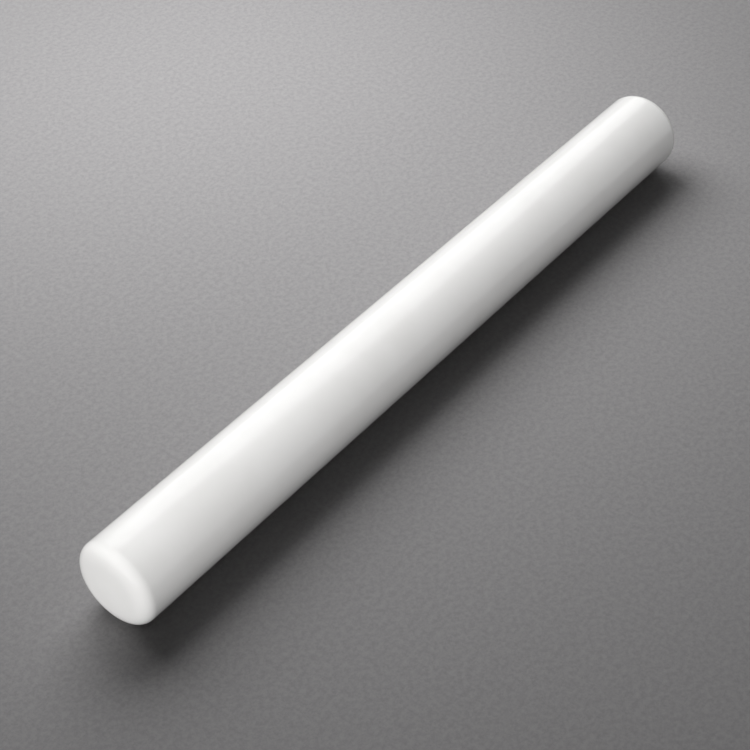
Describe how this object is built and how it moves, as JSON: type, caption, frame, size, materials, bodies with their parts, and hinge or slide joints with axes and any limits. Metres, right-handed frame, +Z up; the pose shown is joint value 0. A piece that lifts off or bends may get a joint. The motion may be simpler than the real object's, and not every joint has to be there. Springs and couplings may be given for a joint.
{
  "type": "rolling pin",
  "caption": "Straight handle-less plastic rolling pin: a hollow white cylinder closed at each end by a flat, round-edged cap, rolled under the palms.",
  "frame": {"origin": "on the surface the pin lies on, under the middle of its length", "axes": "+X along the pin from the left cap to the right cap, +Y across it, +Z up"},
  "size_m": [0.5, 0.05, 0.05],
  "materials": {
    "barrel_plastic": "satin",
    "cap_plastic": "satin"
  },
  "bodies": {
    "root": {"barrel_tube": "barrel_plastic", "end_cap_left": "cap_plastic", "end_cap_right": "cap_plastic"}
  },
  "joints": []
}
